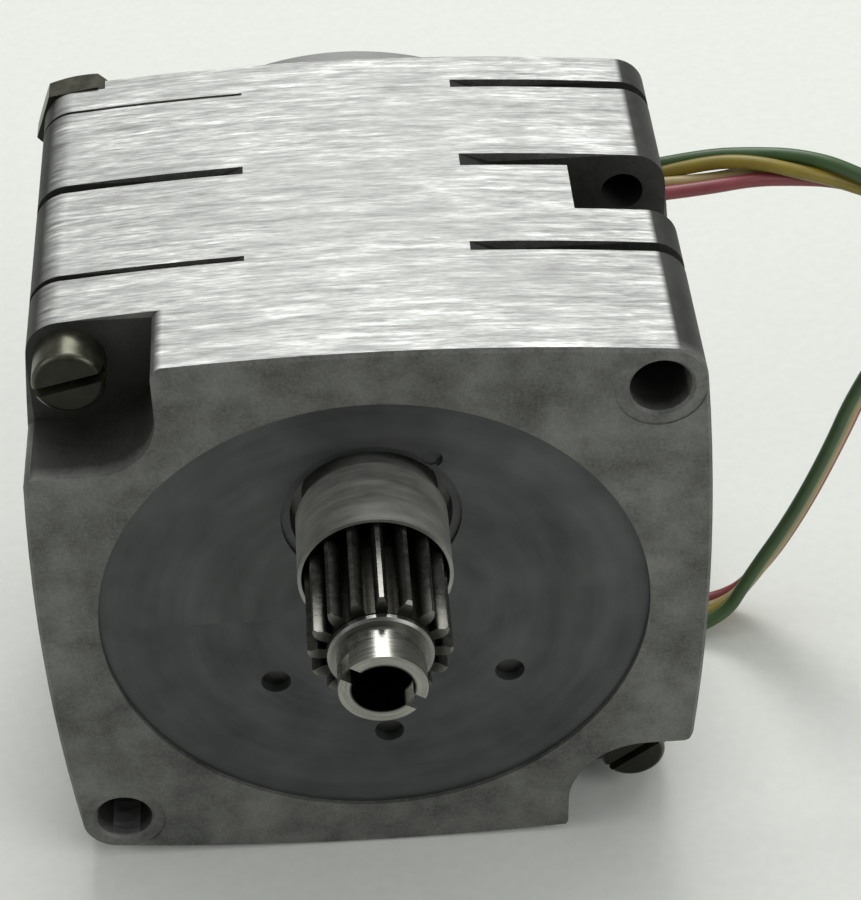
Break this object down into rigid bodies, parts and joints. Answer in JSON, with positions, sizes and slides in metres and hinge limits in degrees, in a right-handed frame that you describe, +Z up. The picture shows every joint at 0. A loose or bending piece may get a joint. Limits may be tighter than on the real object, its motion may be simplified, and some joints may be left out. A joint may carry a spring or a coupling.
{
  "type": "geared stepper motor",
  "caption": "Square-flange geared stepping motor: layered aluminium body, offset output pinion on a slotted hollow shaft, coloured lead wires.",
  "frame": {"origin": "centre of the front mounting face, on the rotor axis", "axes": "+Z up, towards the side that the output shaft is offset to; the output shaft leaves along -Y; +X towards the lead wires' side"},
  "size_m": [0.0821, 0.0673, 0.0572],
  "materials": {
    "ground_aluminium": "ground along X, satin",
    "cast_aluminium": "matte as-cast",
    "disc_zinc": "smooth dark grey",
    "machined_steel": "turned, bright",
    "gear_steel": "hobbed, lightly oiled",
    "chromate_steel": "olive zinc chromate",
    "pole_steel": "pressed, plated",
    "bronze": "sintered, oil filled",
    "copper": "enamelled copper wire",
    "magnet_ferrite": "ferrite, matte",
    "bobbin_nylon": "moulded nylon",
    "grommet_rubber": "soft black rubber",
    "spring_steel": "blued spring steel",
    "insulation_green": "PVC insulation",
    "insulation_yellow": "PVC insulation",
    "insulation_white": "PVC insulation",
    "insulation_red": "PVC insulation"
  },
  "bodies": {
    "housing": {"front_bell": "cast_aluminium", "stator_ring_front": "ground_aluminium", "stator_ring_rear": "ground_aluminium", "rear_bell": "ground_aluminium", "rear_cap": "cast_aluminium", "front_disc": "disc_zinc", "gear_pillars": "machined_steel", "gear_plate": "cast_aluminium", "output_collar": "machined_steel", "output_front_bush": "bronze", "output_rear_bush": "bronze", "rotor_front_bush": "bronze", "rotor_rear_bush": "bronze", "rotor_spring": "spring_steel", "pole_plate_a_front": "pole_steel", "pole_plate_a_rear": "pole_steel", "pole_plate_b_front": "pole_steel", "pole_plate_b_rear": "pole_steel", "flux_sleeve_a": "pole_steel", "flux_sleeve_b": "pole_steel", "bobbin_a": "bobbin_nylon", "bobbin_b": "bobbin_nylon", "winding_a": "copper", "winding_b": "copper", "tie_screws": "chromate_steel", "tie_nuts": "chromate_steel", "lead_grommet": "grommet_rubber", "lead_green": "insulation_green", "lead_yellow": "insulation_yellow", "lead_white": "insulation_white", "lead_red": "insulation_red"},
    "rotor": {"rotor_shaft": "machined_steel", "rotor_pinion": "gear_steel", "rotor_magnet": "magnet_ferrite", "rotor_hub": "cast_aluminium", "rotor_front_washer": "spring_steel"},
    "output": {"output_shaft": "machined_steel", "output_pinion": "gear_steel", "pinion_ring": "spring_steel", "output_gear": "gear_steel", "output_washer": "spring_steel"}
  },
  "joints": [
    {"name": "rotor_spin", "type": "hinge", "parent": "housing", "child": "rotor", "pos_m": [0, 0.026, 0], "axis": [0, -1, 0], "continuous": true},
    {"name": "output_spin", "type": "hinge", "parent": "housing", "child": "output", "pos_m": [0, 0, 0.01125], "axis": [0, -1, 0], "continuous": true}
  ],
  "couplings": [
    {"joint": "output_spin", "follows": "rotor_spin", "ratio": -0.36364}
  ]
}
